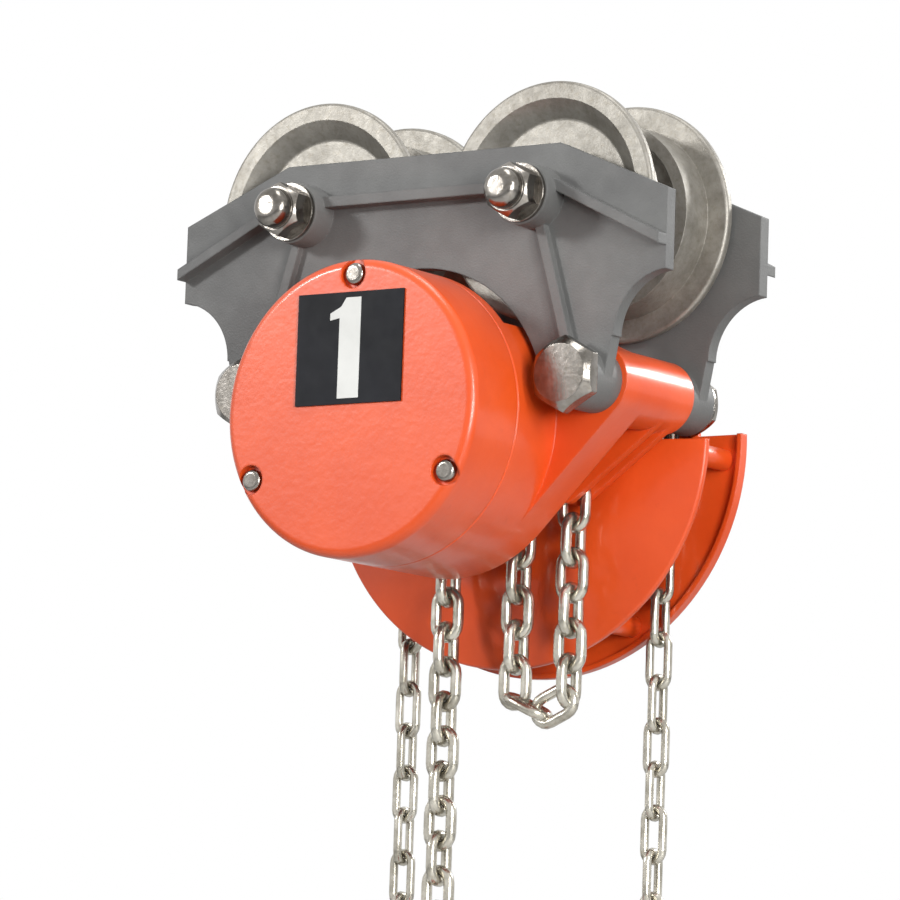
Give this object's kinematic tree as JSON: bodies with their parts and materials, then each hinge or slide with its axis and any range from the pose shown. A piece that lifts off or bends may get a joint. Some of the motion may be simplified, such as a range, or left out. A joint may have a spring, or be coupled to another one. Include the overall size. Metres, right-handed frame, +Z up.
{
  "type": "low-headroom trolley hoist",
  "caption": "Push beam trolley with flanged wheels and a built-in hand-chain hoist: geared sheave, brake, chains, swivel hook with latch.",
  "frame": {"origin": "on the running plane of the wheels, midway between side plates and axles", "axes": "+X along the beam, +Y towards the hand wheel, +Z up"},
  "size_m": [0.314, 0.217, 0.5969],
  "materials": {
    "orange": "gloss paint",
    "grey": "satin paint",
    "zinc": "zinc plated",
    "castwheel": "machined casting",
    "bright": "bright plated",
    "bronze": "bearing bronze",
    "steel": "machined",
    "friction": "friction lining",
    "label": "printed plate",
    "hookpaint": "forged and painted"
  },
  "bodies": {
    "trolley": {"front_side_plate": "grey", "rear_side_plate": "grey", "axle_front_left": "steel", "axle_front_right": "steel", "axle_rear_left": "steel", "axle_rear_right": "steel", "axle_washers": "bright", "axle_nuts": "bright", "load_pin_left": "bright", "load_pin_right": "bright", "load_pin_washers": "bright", "load_pin_nuts": "bright", "cover_screws": "bright", "hoist_frame": "orange", "gear_cover": "orange", "brake_housing": "orange", "hand_wheel_cover": "orange", "cover_studs": "orange", "number_plate": "label", "load_chain": "zinc", "hand_chain": "zinc", "bearing_plate": "steel", "front_sheave_bearing": "steel", "rear_sheave_bearing": "steel", "ratchet_disc": "steel", "pawl_pin": "steel", "anchor_pin": "steel", "yoke_pin": "steel", "inner_friction_disc": "friction", "outer_friction_disc": "friction", "hook_yoke": "hookpaint"},
    "wheel_front_left": {"wheel_front_left": "castwheel", "wheel_bush_front_left": "bronze"},
    "wheel_front_right": {"wheel_front_right": "castwheel", "wheel_bush_front_right": "bronze"},
    "wheel_rear_left": {"wheel_rear_left": "castwheel", "wheel_bush_rear_left": "bronze"},
    "wheel_rear_right": {"wheel_rear_right": "castwheel", "wheel_bush_rear_right": "bronze"},
    "sheave": {"load_sheave": "steel", "load_gear": "steel"},
    "intermediate_left": {"intermediate_gear_left": "steel"},
    "intermediate_right": {"intermediate_gear_right": "steel"},
    "drive": {"pinion_shaft": "steel", "brake_hub": "steel", "hand_wheel": "steel", "shaft_nut": "steel"},
    "pawl": {"pawl": "steel"},
    "hook": {"load_hook": "hookpaint", "hook_collar": "steel", "latch_pin": "steel"},
    "latch": {"hook_latch": "steel"}
  },
  "joints": [
    {"name": "wheel_spin_front_left", "type": "hinge", "parent": "trolley", "child": "wheel_front_left", "pos_m": [-0.075, -0.025, 0.053], "axis": [0, 1, 0], "continuous": true},
    {"name": "wheel_spin_front_right", "type": "hinge", "parent": "trolley", "child": "wheel_front_right", "pos_m": [0.075, -0.025, 0.053], "axis": [0, 1, 0], "continuous": true},
    {"name": "wheel_spin_rear_left", "type": "hinge", "parent": "trolley", "child": "wheel_rear_left", "pos_m": [-0.075, 0.025, 0.053], "axis": [0, 1, 0], "continuous": true},
    {"name": "wheel_spin_rear_right", "type": "hinge", "parent": "trolley", "child": "wheel_rear_right", "pos_m": [0.075, 0.025, 0.053], "axis": [0, 1, 0], "continuous": true},
    {"name": "sheave_spin", "type": "hinge", "parent": "trolley", "child": "sheave", "pos_m": [0, 0.021, -0.0645], "axis": [0, 1, 0], "continuous": true, "deforming": ["load_chain"]},
    {"name": "intermediate_spin_left", "type": "hinge", "parent": "trolley", "child": "intermediate_left", "pos_m": [-0.0385, -0.05, -0.0645], "axis": [0, 1, 0], "continuous": true},
    {"name": "intermediate_spin_right", "type": "hinge", "parent": "trolley", "child": "intermediate_right", "pos_m": [0.0385, -0.05, -0.0645], "axis": [0, 1, 0], "continuous": true},
    {"name": "hand_wheel_spin", "type": "hinge", "parent": "trolley", "child": "drive", "pos_m": [0, 0.0725, -0.0645], "axis": [0, 1, 0], "continuous": true, "deforming": ["hand_chain"]},
    {"name": "pawl_swing", "type": "hinge", "parent": "trolley", "child": "pawl", "pos_m": [0.022, 0.0565, -0.1195], "axis": [0, -1, 0], "range_deg": [0, 12], "stiffness_Nm_per_rad": 0.05, "springref_deg": -5.73},
    {"name": "hook_swivel", "type": "hinge", "parent": "trolley", "child": "hook", "pos_m": [-0.02306, 0.021, -0.38], "axis": [0, 0, 1], "continuous": true},
    {"name": "latch_swing", "type": "hinge", "parent": "hook", "child": "latch", "pos_m": [-0.00306, 0.021, -0.41945], "axis": [0, 1, 0], "range_deg": [0, 40], "stiffness_Nm_per_rad": 0.02, "springref_deg": -11.46}
  ],
  "couplings": [
    {"joint": "intermediate_spin_left", "follows": "sheave_spin", "ratio": -2.6667},
    {"joint": "intermediate_spin_right", "follows": "sheave_spin", "ratio": -2.6667},
    {"joint": "hand_wheel_spin", "follows": "sheave_spin", "ratio": 7.1111}
  ]
}
